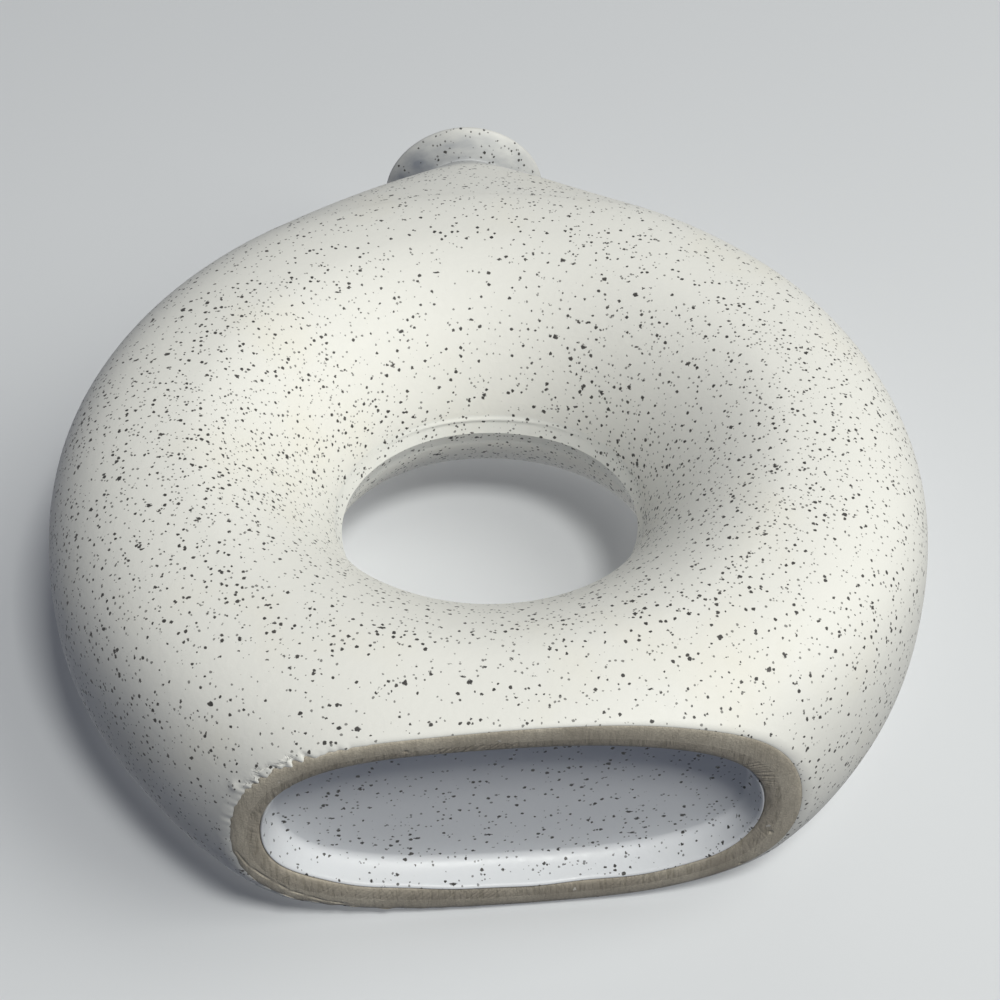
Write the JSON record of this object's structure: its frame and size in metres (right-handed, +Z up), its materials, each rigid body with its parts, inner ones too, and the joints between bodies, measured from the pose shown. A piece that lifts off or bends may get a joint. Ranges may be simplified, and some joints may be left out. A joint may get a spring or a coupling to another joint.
{
  "type": "donut vase",
  "caption": "Ring-shaped stoneware vase with a round hole through its middle, an oval unglazed foot and a short flared neck for stems.",
  "frame": {"origin": "middle of the foot, on the surface that the vase stands on", "axes": "+Z up through the neck, X across the width of the ring, +Y towards the back, so the hole runs along Y"},
  "size_m": [0.18, 0.059, 0.1855],
  "materials": {
    "speckled_glaze": "matte, with dark iron specks",
    "seam_glaze": "matte, with dark iron specks",
    "base_glaze": "satin, with dark iron specks",
    "bare_stoneware": "unglazed, trimmed and wiped"
  },
  "bodies": {
    "root": {"front_shell": "speckled_glaze", "back_shell": "speckled_glaze", "hole_seam": "seam_glaze", "neck_collar": "speckled_glaze", "foot_ring": "bare_stoneware", "base_panel": "base_glaze"}
  },
  "joints": []
}
